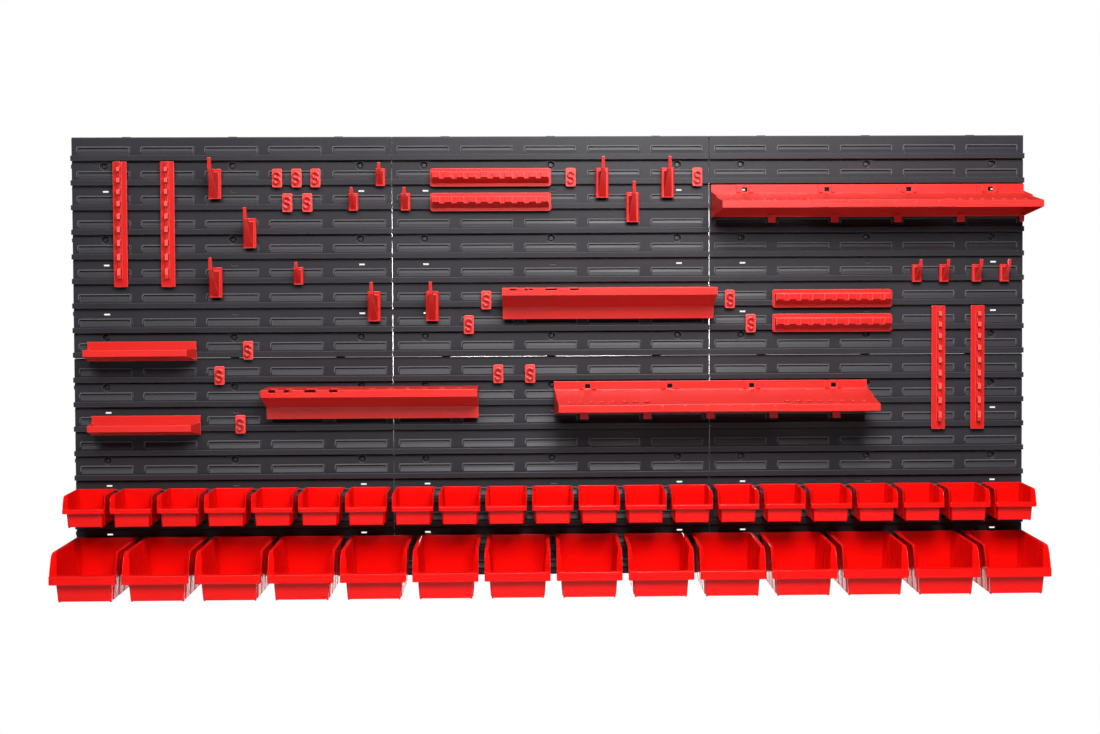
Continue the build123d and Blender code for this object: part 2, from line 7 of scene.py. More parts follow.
import bmesh
import bpy
import numpy as np
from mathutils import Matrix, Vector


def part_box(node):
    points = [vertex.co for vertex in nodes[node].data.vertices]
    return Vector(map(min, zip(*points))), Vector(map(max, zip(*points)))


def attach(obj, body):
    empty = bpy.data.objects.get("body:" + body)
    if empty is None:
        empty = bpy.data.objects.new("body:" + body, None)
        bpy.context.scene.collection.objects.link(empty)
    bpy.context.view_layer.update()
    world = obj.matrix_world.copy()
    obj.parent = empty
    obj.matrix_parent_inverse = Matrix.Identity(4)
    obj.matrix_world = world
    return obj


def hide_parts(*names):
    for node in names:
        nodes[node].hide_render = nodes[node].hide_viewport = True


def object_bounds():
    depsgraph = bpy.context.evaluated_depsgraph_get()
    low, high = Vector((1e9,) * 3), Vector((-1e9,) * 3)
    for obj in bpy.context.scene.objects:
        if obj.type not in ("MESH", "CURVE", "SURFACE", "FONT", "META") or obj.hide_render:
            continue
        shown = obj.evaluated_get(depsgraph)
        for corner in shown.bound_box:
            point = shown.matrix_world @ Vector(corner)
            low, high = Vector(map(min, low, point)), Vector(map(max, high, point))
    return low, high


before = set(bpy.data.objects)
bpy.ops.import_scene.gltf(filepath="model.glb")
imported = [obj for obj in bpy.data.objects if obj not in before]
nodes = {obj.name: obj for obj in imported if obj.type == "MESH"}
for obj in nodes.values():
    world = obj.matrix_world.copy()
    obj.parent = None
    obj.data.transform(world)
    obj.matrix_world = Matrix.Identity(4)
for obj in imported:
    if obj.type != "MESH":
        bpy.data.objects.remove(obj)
cad_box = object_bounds()

# --- Louvre panels ------------------------------------------------------------------------------------
# Injection-moulded polypropylene, dyed anthracite. The mould leaves a fine grain on the flats and a
# small radius on every rail, bead and pocket. Each panel is screwed to the wall.
PANEL_RADIUS = 0.0005
SHARP_EDGE = math.radians(32)
WELD_DISTANCE = 2e-6
COLUMN_WIDTH, ROW_HEIGHT = 190, 220
RIDGE_BLEND = 0.0006
PANEL_DARK = (0.016, 0.0148, 0.0180)
PANEL_LIGHT = (0.026, 0.0240, 0.0290)


def merged_copy(name):
    """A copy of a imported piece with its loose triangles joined."""
    mesh = nodes[name].data.copy()
    work = bmesh.new()
    work.from_mesh(mesh)
    bmesh.ops.remove_doubles(work, verts=work.verts, dist=WELD_DISTANCE)
    work.to_mesh(mesh)
    work.free()
    piece = bpy.data.objects.new(name + "_moulding", mesh)
    bpy.context.scene.collection.objects.link(piece)
    return piece


def rounded(name, body, material, radius, segments=2):
    """The piece as it leaves its mould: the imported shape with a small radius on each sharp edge."""
    piece = merged_copy(name)
    piece.data.materials.clear()
    piece.data.materials.append(material)
    piece.data.polygons.foreach_set("material_index", np.zeros(len(piece.data.polygons), dtype=np.int32))
    piece.data.polygons.foreach_set("use_smooth", np.zeros(len(piece.data.polygons), dtype=bool))
    edge = piece.modifiers.new("edge radius", "BEVEL")
    edge.width = radius
    edge.segments = segments
    edge.limit_method = "ANGLE"
    edge.angle_limit = SHARP_EDGE
    edge.use_clamp_overlap = False
    edge.loop_slide = False
    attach(piece, body)
    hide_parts(name)


def settle(node, column, row, values):
    """Puts a shader node at a column and row of its tree's grid and sets its plain input values."""
    node.location = (column * COLUMN_WIDTH, -row * ROW_HEIGHT)
    for socket, value in values.items():
        node.inputs[socket.replace("_", " ")].default_value = value
    return node


def place(tree, kind, column, row, **values):
    """Adds a shader node to a tree."""
    return settle(tree.nodes.new(kind), column, row, values)


def new_group(name, inputs, outputs):
    """A node group with float inputs (name to default) and float outputs, and its two end nodes."""
    tree = bpy.data.node_groups.new(name, "ShaderNodeTree")
    for socket, value in inputs.items():
        entry = tree.interface.new_socket(socket, in_out="INPUT", socket_type="NodeSocketFloat")
        entry.default_value = value
    for socket in outputs:
        tree.interface.new_socket(socket, in_out="OUTPUT", socket_type="NodeSocketFloat")
    return tree, tree.nodes.new("NodeGroupInput"), tree.nodes.new("NodeGroupOutput")


def mould_grain_group():
    """Spark-eroded mould texture: fine height noise, and slow tone and gloss drift from the melt flow."""
    tree, start, end = new_group("mould_grain", {"Grain scale": 900.0, "Flow scale": 9.0},
                                 ["Height", "Tone", "Gloss"])
    coordinates = place(tree, "ShaderNodeTexCoord", -5, 0)
    fine = place(tree, "ShaderNodeTexNoise", -3, 0, Detail=3.0, Roughness=0.6)
    flow = place(tree, "ShaderNodeTexNoise", -3, 1, Detail=4.0, Roughness=0.55, Distortion=0.8)
    smear = place(tree, "ShaderNodeTexNoise", -3, 2, Detail=2.0)
    stretch = place(tree, "ShaderNodeMapping", -4, 2)
    stretch.inputs["Scale"].default_value = (1.0, 1.0, 6.0)
    link = tree.links.new
    for texture in (fine, flow):
        link(coordinates.outputs["Object"], texture.inputs["Vector"])
    link(coordinates.outputs["Object"], stretch.inputs["Vector"])
    link(stretch.outputs["Vector"], smear.inputs["Vector"])
    link(start.outputs["Grain scale"], fine.inputs["Scale"])
    link(start.outputs["Flow scale"], flow.inputs["Scale"])
    link(start.outputs["Flow scale"], smear.inputs["Scale"])
    link(fine.outputs["Fac"], end.inputs["Height"])
    link(flow.outputs["Fac"], end.inputs["Tone"])
    link(smear.outputs["Fac"], end.inputs["Gloss"])
    return tree


def settled_dust_group():
    """Workshop dust: thickest on faces that look up, broken into patches by noise."""
    tree, start, end = new_group("settled_dust", {"Amount": 0.3, "Patch scale": 40.0}, ["Mask"])
    geometry = place(tree, "ShaderNodeNewGeometry", -5, 0)
    split = place(tree, "ShaderNodeSeparateXYZ", -4, 0)
    upward = place(tree, "ShaderNodeMapRange", -3, 0)
    upward.inputs["From Min"].default_value = 0.55
    coordinates = place(tree, "ShaderNodeTexCoord", -5, 1)
    patches = place(tree, "ShaderNodeTexNoise", -3, 1, Detail=5.0, Roughness=0.65)
    both = place(tree, "ShaderNodeMath", -2, 0)
    both.operation = "MULTIPLY"
    amount = place(tree, "ShaderNodeMath", -1, 0)
    amount.operation = "MULTIPLY"
    link = tree.links.new
    link(geometry.outputs["Normal"], split.inputs["Vector"])
    link(split.outputs["Z"], upward.inputs["Value"])
    link(coordinates.outputs["Object"], patches.inputs["Vector"])
    link(start.outputs["Patch scale"], patches.inputs["Scale"])
    link(upward.outputs["Result"], both.inputs[0])
    link(patches.outputs["Fac"], both.inputs[1])
    link(both.outputs["Value"], amount.inputs[0])
    link(start.outputs["Amount"], amount.inputs[1])
    link(amount.outputs["Value"], end.inputs["Mask"])
    return tree


def edge_highlight_group():
    """Painted edge highlight: a lighter tone where the surface turns within a small radius, broken up by
    noise.
    """
    tree, start, end = new_group("painted_edge_highlight", {"Amount": 0.5, "Radius": 0.001, "Break scale": 160.0},
                                 ["Mask"])
    geometry = place(tree, "ShaderNodeNewGeometry", -5, 0)
    softened = place(tree, "ShaderNodeBevel", -5, 1)
    softened.samples = 4
    agreement = place(tree, "ShaderNodeVectorMath", -4, 0)
    agreement.operation = "DOT_PRODUCT"
    ridge = place(tree, "ShaderNodeMapRange", -3, 0, From_Min=0.995, From_Max=0.86)
    coordinates = place(tree, "ShaderNodeTexCoord", -5, 2)
    breaks = place(tree, "ShaderNodeTexNoise", -3, 1, Detail=3.0)
    broken = place(tree, "ShaderNodeMapRange", -2, 1, From_Min=0.25, From_Max=0.55, To_Min=0.35)
    both = place(tree, "ShaderNodeMath", -2, 0)
    both.operation = "MULTIPLY"
    amount = place(tree, "ShaderNodeMath", -1, 0)
    amount.operation = "MULTIPLY"
    link = tree.links.new
    link(start.outputs["Radius"], softened.inputs["Radius"])
    link(geometry.outputs["Normal"], agreement.inputs[0])
    link(softened.outputs["Normal"], agreement.inputs[1])
    link(agreement.outputs["Value"], ridge.inputs["Value"])
    link(coordinates.outputs["Object"], breaks.inputs["Vector"])
    link(start.outputs["Break scale"], breaks.inputs["Scale"])
    link(breaks.outputs["Fac"], broken.inputs["Value"])
    link(ridge.outputs["Result"], both.inputs[0])
    link(broken.outputs["Result"], both.inputs[1])
    link(both.outputs["Value"], amount.inputs[0])
    link(start.outputs["Amount"], amount.inputs[1])
    link(amount.outputs["Value"], end.inputs["Mask"])
    return tree


GRAIN, DUST, EDGE_HIGHLIGHT = mould_grain_group(), settled_dust_group(), edge_highlight_group()


def add_group(tree, group, column, row, **values):
    """Places a node group in a material with its own input values."""
    node = tree.nodes.new("ShaderNodeGroup")
    node.node_tree = group
    return settle(node, column, row, values)


def mixed(tree, column, row, factor, low, high):
    """A colour mix whose two ends are colours or sockets, driven by a factor socket.

    On a mix node, inputs 6 and 7 are its two colours and output 2 is the mixed colour."""
    node = place(tree, "ShaderNodeMix", column, row)
    node.data_type = "RGBA"
    tree.links.new(factor, node.inputs["Factor"])
    for entry, value in ((node.inputs[6], low), (node.inputs[7], high)):
        if isinstance(value, tuple):
            entry.default_value = (*value, 1.0)
        else:
            tree.links.new(value, entry)
    return node.outputs[2]


def add_finish(tree, shader, grain_node, gloss, depth, distance):
    """Wires a shader's roughness to the gloss drift and its normal to the grain's height."""
    roughness = place(tree, "ShaderNodeMapRange", -2, 1, To_Min=gloss[0], To_Max=gloss[1])
    tree.links.new(grain_node.outputs["Gloss"], roughness.inputs["Value"])
    tree.links.new(roughness.outputs["Result"], shader.inputs["Roughness"])
    bump = place(tree, "ShaderNodeBump", -2, 2, Strength=depth, Distance=distance)
    tree.links.new(grain_node.outputs["Height"], bump.inputs["Height"])
    tree.links.new(bump.outputs["Normal"], shader.inputs["Normal"])


def moulded_plastic(name, deep, light, highlight_colour, dusty, gloss, grain, flow_scale, dust, highlight_amount, specular=0.5,
                    ridge=None):
    """Dyed plastic: two tones drift over the piece, a painted highlight lies along the edges, and dust lies
    on what looks up.

    gloss is the roughness of the shiniest and dullest patches, grain the depth of the mould texture.
    ridge, a forward distance and a colour, tints what stands out further than that from the wall."""
    material = bpy.data.materials.new(name)
    material.use_nodes = True
    tree = material.node_tree
    shader = tree.nodes["Principled BSDF"]
    shader.inputs["Specular IOR Level"].default_value = specular
    grain_node = add_group(tree, GRAIN, -5, 0, Flow_scale=flow_scale)
    dust_node = add_group(tree, DUST, -5, 1, Amount=dust)
    # Painted highlight: the lighter edge colour mixed in along sharp edges.
    highlight_node = add_group(tree, EDGE_HIGHLIGHT, -5, 2, Amount=highlight_amount)
    body = mixed(tree, -3, 0, grain_node.outputs["Tone"], deep, light)
    highlighted = mixed(tree, -2, 0, highlight_node.outputs["Mask"], body, highlight_colour)
    covered = mixed(tree, -1, 0, dust_node.outputs["Mask"], highlighted, dusty)
    if ridge:
        coordinates = place(tree, "ShaderNodeTexCoord", -5, 3)
        split = place(tree, "ShaderNodeSeparateXYZ", -4, 3)
        beyond = place(tree, "ShaderNodeMapRange", -3, 3, From_Min=-ridge[0],
                       From_Max=-ridge[0] - RIDGE_BLEND)
        tree.links.new(coordinates.outputs["Object"], split.inputs["Vector"])
        tree.links.new(split.outputs["Y"], beyond.inputs["Value"])
        covered = mixed(tree, -1, 3, beyond.outputs["Result"], covered, ridge[1])
    tree.links.new(covered, shader.inputs["Base Color"])
    add_finish(tree, shader, grain_node, gloss, grain, 0.0002)
    return material


anthracite = moulded_plastic("anthracite_plastic", PANEL_DARK, PANEL_LIGHT, (0.15, 0.145, 0.155),
                             (0.060, 0.058, 0.062), (0.34, 0.52), 0.30, flow_scale=5.0, dust=0.25, highlight_amount=0.7,
                             specular=0.25)
for name in nodes:
    if name.startswith("panel_"):
        rounded(name, "wall_panels", anthracite, PANEL_RADIUS)

# --- Pocket beads and their painted highlight ---------------------------------------------------------
# Each of a panel's 45 pockets has a raised bead round its top and sides. Thin strips of a lighter, glossier
# plastic lie on the panel's own beads and paint the highlight along them, against the grained flats.
ROW_PITCH, ROWS = 0.0444, 9
POCKET_PITCH, POCKETS = 0.1152, 5
BEAD_HALF = 0.04685
BEAD_TOP, BEAD_BOTTOM = 0.01775, 0.0270
BEAD_LINE = 0.0013
BEAD_BACK, BEAD_FRONT = 0.0127, 0.01325
BEAD_CORNER = 0.003
PANEL_TOPS = dict(upper=0.4001, lower=-0.0005)
# Much lighter than the panel: a painted highlight on the beads.
bead_highlight = moulded_plastic("painted_bead_highlight", (0.070, 0.068, 0.074), (0.120, 0.117, 0.126),
                             (0.20, 0.195, 0.205), (0.10, 0.098, 0.102), (0.16, 0.30), 0.05,
                             flow_scale=14.0, dust=0.2, highlight_amount=0.3)


def bead_outline():
    """An arch of even width: straight legs and a straight top joined by quarter circles, in X and Z."""
    turn = np.linspace(0, np.pi / 2, 5)

    def half_arch(offset):
        radius = BEAD_CORNER + offset
        across = BEAD_HALF - BEAD_CORNER + radius * np.cos(turn)
        up = -BEAD_TOP - BEAD_CORNER + radius * np.sin(turn)
        return np.concatenate([[[BEAD_HALF + offset, -BEAD_BOTTOM]], np.column_stack([across, up])])

    outer, inner = half_arch(BEAD_LINE / 2), half_arch(-BEAD_LINE / 2)
    arch = [np.concatenate([half, half[::-1] * [-1, 1]]) for half in (outer, inner)]
    return arch[0], arch[1]


def closed_piece(name, points, faces, material):
    """A new object in the scene from points and faces, every face turned outwards."""
    mesh = bpy.data.meshes.new(name)
    mesh.from_pydata(points.tolist(), [], faces)
    work = bmesh.new()
    work.from_mesh(mesh)
    bmesh.ops.recalc_face_normals(work, faces=work.faces)
    work.to_mesh(mesh)
    work.free()
    mesh.materials.append(material)
    piece = bpy.data.objects.new(name, mesh)
    bpy.context.scene.collection.objects.link(piece)
    return piece


def build_bead_highlights(name):
    """All the painted bead highlights of one panel: the arch repeated over pockets and rows as one array of
    points.
    """
    low, high = map(np.array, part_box(name))
    outer, inner = bead_outline()
    columns = (low[0] + high[0]) / 2 + (np.arange(POCKETS) - (POCKETS - 1) / 2) * POCKET_PITCH
    rows = PANEL_TOPS[name.split("_")[1]] - np.arange(ROWS) * ROW_PITCH
    corners = np.concatenate([outer, inner])
    flat = np.stack(np.meshgrid(columns, rows, indexing="ij"), axis=-1).reshape(-1, 1, 2) + corners
    layers = [np.insert(flat, 1, -forward, axis=2) for forward in (BEAD_BACK, BEAD_FRONT)]
    points = np.concatenate(layers, axis=1)
    span, count = len(outer), len(corners)
    here = np.arange(span - 1)
    face = np.stack([here, here + 1, here + 1 + span, here + span], axis=1)
    rim = np.stack([here, here + 1, here + 1 + count, here + count], axis=1)
    ends = np.array([[0, span, span + count, count], [span - 1, count - 1, 2 * count - 1, span - 1 + count]])
    one = np.concatenate([face + count, face[:, ::-1], rim, rim[:, ::-1] + span, ends])
    faces = (one + 2 * count * np.arange(len(points))[:, None, None]).reshape(-1, 4)
    beads = closed_piece(name.replace("panel", "pocket_bead_highlights"), points.reshape(-1, 3), faces.tolist(),
                         bead_highlight)
    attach(beads, "wall_panels")


for name in nodes:
    if name.startswith("panel_"):
        build_bead_highlights(name)

# --- Wall screws --------------------------------------------------------------------------------------
# Zinc-plated steel pan heads with a hexagon socket, driven into plugs through the round counterbores.
# Nine hold each panel.
SCREW_RADIUS = 0.0002


def plated_steel():
    """Dulled zinc: a metal whose grey drifts slightly, with brushed streaks in its roughness."""
    material = bpy.data.materials.new("plated_steel")
    material.use_nodes = True
    tree = material.node_tree
    shader = tree.nodes["Principled BSDF"]
    shader.inputs["Metallic"].default_value = 1.0
    grain_node = add_group(tree, GRAIN, -5, 0, Grain_scale=1500.0, Flow_scale=120.0)
    dust_node = add_group(tree, DUST, -5, 1, Amount=0.4, Patch_scale=300.0)
    body = mixed(tree, -3, 0, grain_node.outputs["Tone"], (0.045, 0.045, 0.048), (0.13, 0.13, 0.135))
    tree.links.new(mixed(tree, -1, 0, dust_node.outputs["Mask"], body, (0.06, 0.058, 0.055)),
                   shader.inputs["Base Color"])
    add_finish(tree, shader, grain_node, (0.28, 0.55), 0.2, 0.0001)
    return material


rounded("wall_screws", "wall_panels", plated_steel(), SCREW_RADIUS, segments=1)

# --- Storage bins -------------------------------------------------------------------------------------
# Open-fronted bins of glossy red polypropylene: thin fluted walls, a rim that steps down to the lip, and
# a deep band across the front. Each hangs by two tongues behind a rail and lifts straight off.
BIN_BACK = 0.021
BIN_WALL = 0.002
RIM_DEPTH = 0.0026
BAND_THICKNESS = 0.007
FRONT_SET_BACK = 0.006
FLUTE_DEPTH, FLUTE_RAMP, FLUTE_GAP = 0.0014, 0.0012, 0.005
CORNER = 0.003
TONGUE_THICKNESS = 0.0024
SMALL_BIN = dict(height=0.056, lip=0.033, band=0.008, base=0.060, top=0.066, lean=0.005, flutes=2,
                 tongues=0.018, tongue_width=0.014, bridge=(0.0398, 0.0364, 0.0311))
LARGE_BIN = dict(height=0.084, lip=0.0466, band=0.015, base=0.091, top=0.102, lean=0.009, flutes=4,
                 tongues=0.030, tongue_width=0.018, bridge=(0.0674, 0.0640, 0.0587))


def rim_height(forward, depth, size):
    """The rim's level along the side: flat from the back, rounded over, then a steep drop to the lip."""
    high, lip = size["height"], size["lip"]
    along = np.array([0.0, 0.84, 0.875, 0.90, 0.93]) * depth
    levels = high - high * np.array([0.0, 0.0, 0.025, 0.08, 0.208])
    return np.interp(forward, np.append(along, depth - 0.004), np.append(levels, lip))


def side_stations(depth, size):
    """Places along a side wall, and how far the wall stands out at each: flutes are shallow trapezoids."""
    step = (depth - 0.014) / size["flutes"]
    starts = FLUTE_GAP + step * np.arange(size["flutes"])
    ends = starts + step - FLUTE_GAP
    ramps = np.stack([starts, starts + FLUTE_RAMP, ends - FLUTE_RAMP, ends], axis=1)
    outs = np.tile([0.0, FLUTE_DEPTH, FLUTE_DEPTH, 0.0], size["flutes"])
    drop = depth * np.array([0.81, 0.84, 0.857, 0.875, 0.90, 0.915, 0.93])
    last = depth - np.array([0.0092, 0.0080, 0.0071, 0.0069, 0.0052, 0.004, CORNER])
    stations = np.unique(np.concatenate([[0.0, 0.002], ramps.ravel(), drop, last]))
    stations = stations[stations <= depth - CORNER + 1e-9]
    return stations, np.interp(stations, ramps.ravel(), outs)


def bin_ring(half, front, depth, stations, outs, back):
    """One level of the bin seen from above: sides at plus and minus half, rounded front corners.

    The side stations are stretched so that the corner arcs always start CORNER behind the front."""
    reach = back + (stations / (depth - CORNER)) * (front - CORNER - back)
    turn = np.linspace(0, np.pi / 2, 6)[1:]
    side = np.stack([half + outs, reach], axis=1)
    side[-1, 0] = half
    arc = np.stack([half - CORNER + CORNER * np.cos(turn), front - CORNER + CORNER * np.sin(turn)],
                   axis=1)
    right = np.concatenate([side, arc])
    return np.concatenate([right, right[::-1] * [-1, 1]])


def bin_shell(width, depth, size):
    """A closed shell: rings stacked up the outside, over the rim and down the inside, then the floor.

    Walls taper linearly from base to top. Every ring has the same columns, so each wall is a quad grid."""
    stations, outs = side_stations(depth, size)
    high = size["height"]
    column = np.concatenate([stations, np.full(5, depth)])
    column = np.concatenate([column, column[::-1]])
    rim = rim_height(column, depth, size)
    under = np.where(column > depth - BAND_THICKNESS, size["lip"] - size["band"],
                     rim_height(column + RIM_DEPTH, depth, size) - RIM_DEPTH)
    plain = np.zeros_like(outs)
    front = BIN_BACK + depth - FRONT_SET_BACK

    def wall_ring(level, inset):
        share = np.broadcast_to(level / high, len(column))[:, None]
        foot = bin_ring(size["base"] / 2 - inset, front - size["lean"] - inset, depth, stations, outs,
                        BIN_BACK + inset)
        brim = bin_ring(size["top"] / 2 - inset, front - inset, depth, stations, outs, BIN_BACK + inset)
        return foot * (1 - share) + brim * share

    def rim_ring(inset):
        return bin_ring(width / 2 - inset, BIN_BACK + depth - inset, depth, stations, plain,
                        BIN_BACK + min(inset, 0.0008))

    levels = [(wall_ring(0.0, 0.0010), 0.0), (wall_ring(0.0, 0.0003), 0.0003),
              (wall_ring(0.001, 0.0), 0.0010), (wall_ring(under, 0.0), under - 0.0006),
              (wall_ring(under, -0.0005), under), (rim_ring(0.0008), under),
              (rim_ring(0.0002), under + 0.0003), (rim_ring(0.0), under + 0.0009),
              (rim_ring(0.0), rim - 0.0013), (rim_ring(0.0002), rim - 0.0006),
              (rim_ring(0.0006), rim - 0.0002), (rim_ring(0.0013), rim),
              (wall_ring(rim, BIN_WALL - 0.0008), rim), (wall_ring(rim, BIN_WALL - 0.0002), rim - 0.0003),
              (wall_ring(rim, BIN_WALL), rim - 0.0009), (wall_ring(0.002, BIN_WALL), BIN_WALL + 0.0016),
              (wall_ring(0.0, BIN_WALL + 0.0005), BIN_WALL + 0.0004),
              (wall_ring(0.0, BIN_WALL + 0.0016), BIN_WALL)]
    count = len(column)
    grid = np.stack([np.column_stack([ring, np.broadcast_to(level, count)]) for ring, level in levels])
    index = np.arange(len(levels) * count).reshape(len(levels), count)
    right = np.roll(index, -1, axis=1)
    quads = np.stack([index[:-1], right[:-1], right[1:], index[1:]], axis=-1).reshape(-1, 4)
    faces = quads.tolist() + [index[0][::-1].tolist(), index[-1].tolist()]
    return grid.reshape(-1, 3), faces


def swept_outline(outline, left, right):
    """A straight bar: a side outline of (forward, up) points carried from left to right."""
    outline = np.array(outline)
    ends = [np.column_stack([np.full(len(outline), x), outline]) for x in (left, right)]
    count = len(outline)
    here = np.arange(count)
    walls = np.stack([here, np.roll(here, -1), np.roll(here, -1) + count, here + count], axis=1).tolist()
    return np.concatenate(ends), walls + [here[::-1].tolist(), (here + count).tolist()]


def joined(solids):
    """Several closed surfaces, each its points and faces, as one array of points and one list of faces."""
    points, faces = np.zeros((0, 3)), []
    for corners, sides in solids:
        faces += [[corner + len(points) for corner in face] for face in sides]
        points = np.concatenate([points, corners])
    return points, faces


def build_bin(name, size):
    """A whole bin at its packed place: shell, two small feet and two hanging tongues."""
    low, high = map(np.array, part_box(name))
    width, depth = high[0] - low[0], -low[1] - BIN_BACK
    tongue_back = -high[1]
    floor = high[2] - size["height"]
    front = BIN_BACK + depth - FRONT_SET_BACK - size["lean"]
    foot = [(front - 0.010, -0.0016), (front - 0.003, -0.0016), (front - 0.003, 0.001),
            (front - 0.010, 0.001)]
    bridge_top, bridge_foot, end = size["bridge"]
    solids = [bin_shell(width, depth, size)]
    for side in (-1, 1):
        outer = side * size["base"] / 2
        solids.append(swept_outline(foot, *sorted((outer - side * 0.003, outer - side * 0.0004))))
        hook = [(BIN_BACK + 0.001, bridge_foot), (BIN_BACK + 0.001, bridge_top), (tongue_back, bridge_top),
                (tongue_back, end), (tongue_back + TONGUE_THICKNESS, end),
                (tongue_back + TONGUE_THICKNESS, bridge_foot)]
        centre, half = side * size["tongues"], size["tongue_width"] / 2
        solids.append(swept_outline(hook, centre - half, centre + half))
    points, faces = joined(solids)
    place_at = np.array([(low[0] + high[0]) / 2, 0.0, floor])
    piece = closed_piece(name + "_moulding", points * [1, -1, 1] + place_at, faces, bin_red)
    piece.data.polygons.foreach_set("use_smooth", np.ones(len(piece.data.polygons), dtype=bool))
    shading = piece.modifiers.new("flat faces", "WEIGHTED_NORMAL")
    shading.weight = 90
    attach(piece, name)
    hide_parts(name)


bin_red = moulded_plastic("bin_plastic", (0.64, 0.0022, 0.0016), (0.78, 0.0040, 0.0026), (0.88, 0.045, 0.035),
                          (0.70, 0.060, 0.050), (0.15, 0.28), 0.10, flow_scale=7.0, dust=0.16, highlight_amount=0.5,
                          specular=0.22)
for name in nodes:
    if name.startswith("small_bin_"):
        build_bin(name, SMALL_BIN)
    elif name.startswith("large_bin_"):
        build_bin(name, LARGE_BIN)

# --- Shelves ------------------------------------------------------------------------------------------
# Satin orange-red mouldings, each hooked over a rail: long trays with tool holes and a ribbed lip, short
# trays, and box shelves with a notched top edge.
SHELF_RADIUS = 0.0004
shelf_red = moulded_plastic("shelf_plastic", (0.55, 0.011, 0.008), (0.69, 0.018, 0.013), (0.95, 0.16, 0.12),
                            (0.70, 0.09, 0.07), (0.30, 0.46), 0.22, flow_scale=8.0, dust=0.14, highlight_amount=0.5)
for name in nodes:
    if "shelf" in name:
        rounded(name, name, shelf_red, SHELF_RADIUS)

# --- Level toothed racks ------------------------------------------------------------------------------
# Satin red plates with rounded corners. A solid ledge stands out in front, its edge cut into ten square
# teeth that hold screwdrivers, and slopes back under to the plate. Two hooks hang it on a rail.
RACK_RADIUS = 0.0005
BAR_PLATE = (0.0206, 0.0232)
BAR_CORNER = 0.005
BAR_HEIGHT = 0.033
BAR_END = 0.004
LEDGE_DROP = 0.007
BAR_TEETH, BAR_PITCH, BAR_TOOTH = 10, 0.0217, 0.0130
TOOTH_DEPTH = 0.005
HOOK_SPREAD, HOOK_WIDTH = 0.088, 0.020
rack_red = moulded_plastic("rack_plastic", (0.44, 0.0058, 0.0050), (0.57, 0.0095, 0.0078), (0.95, 0.20, 0.16),
                           (0.66, 0.11, 0.09), (0.26, 0.42), 0.22, flow_scale=8.0, dust=0.25, highlight_amount=0.9)


def rounded_plate(left, right, low, high, back, front, radius):
    """A flat plate with quarter-circle corners, its outline carried from back to front."""
    turn = np.linspace(0, np.pi / 2, 7)
    arcs = []
    for corner, (x, z) in enumerate(((right - radius, high - radius), (left + radius, high - radius),
                                     (left + radius, low + radius), (right - radius, low + radius))):
        angle = turn + corner * np.pi / 2
        arcs.append(np.column_stack([x + radius * np.cos(angle), z + radius * np.sin(angle)]))
    outline = np.concatenate(arcs)
    count = len(outline)
    points = np.concatenate([np.column_stack([outline[:, 0], np.full(count, y), outline[:, 1]])
                             for y in (back, front)])
    here = np.arange(count)
    sides = np.stack([here, np.roll(here, -1), np.roll(here, -1) + count, here + count], axis=1).tolist()
    return points, sides + [here[::-1].tolist(), (here + count).tolist()]


def build_bar_rack(name):
    """Plate, solid ledge, ten teeth and two hooks, each a side outline carried across its width."""
    low, high = map(np.array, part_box(name))
    left, right, tip, tongue = low[0], high[0], -low[1], -high[1]
    top = low[2] + BAR_HEIGHT
    back, front = BAR_PLATE
    root, gap, ledge_top = front - 0.0005, tip - TOOTH_DEPTH, top - LEDGE_DROP
    solids = [rounded_plate(left, right, low[2], top, back, front, BAR_CORNER)]
    ledge = [(root, ledge_top), (gap, ledge_top), (gap, top - 0.0196), (root, top - 0.028)]
    solids.append(swept_outline(ledge, left + BAR_END, right - BAR_END))
    middle = (left + right) / 2
    tooth = [(gap - 0.001, ledge_top), (tip, ledge_top), (tip, top - 0.017), (gap - 0.001, top - 0.0202)]
    for number in range(BAR_TEETH):
        centre = middle + (number - (BAR_TEETH - 1) / 2) * BAR_PITCH
        half = BAR_TOOTH / 2
        solids.append(swept_outline(tooth, max(centre - half, left + BAR_END),
                                    min(centre + half, right - BAR_END)))
    over, under, end = top - 0.0154, top - 0.0188, top - 0.0241
    hook = [(back + 0.001, under), (back + 0.001, over), (tongue, over), (tongue, end),
            (tongue + TONGUE_THICKNESS, end), (tongue + TONGUE_THICKNESS, under)]
    for side in (-1, 1):
        centre = middle + side * HOOK_SPREAD
        solids.append(swept_outline(hook, centre - HOOK_WIDTH / 2, centre + HOOK_WIDTH / 2))
    points, faces = joined(solids)
    piece = closed_piece(name + "_moulding", points * [1, -1, 1], faces, rack_red)
    edge = piece.modifiers.new("edge radius", "BEVEL")
    edge.width = RACK_RADIUS
    edge.segments = 2
    edge.limit_method = "ANGLE"
    edge.angle_limit = SHARP_EDGE
    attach(piece, name)
    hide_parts(name)


for name in nodes:
    if name.startswith("rack_bar_"):
        build_bar_rack(name)

# --- Upright toothed racks ----------------------------------------------------------------------------
# The same plastic: a narrow upright plate with a thin fin down its middle, cut into square teeth.
UPRIGHT_TEETH = 9
FIN_HALF, FIN_TIP = 0.0026, 0.0352
FACE_SUNK, FACE_PROUD, FACE_MARGIN = 0.0004, 0.00012, 0.0005
# A lighter red for the teeth's ends: a painted highlight.
tooth_highlight_red = moulded_plastic("painted_tooth_highlight", (0.74, 0.060, 0.048), (0.90, 0.105, 0.085), (0.98, 0.26, 0.21),
                            (0.80, 0.16, 0.13), (0.16, 0.30), 0.06, flow_scale=14.0, dust=0.2, highlight_amount=0.6)


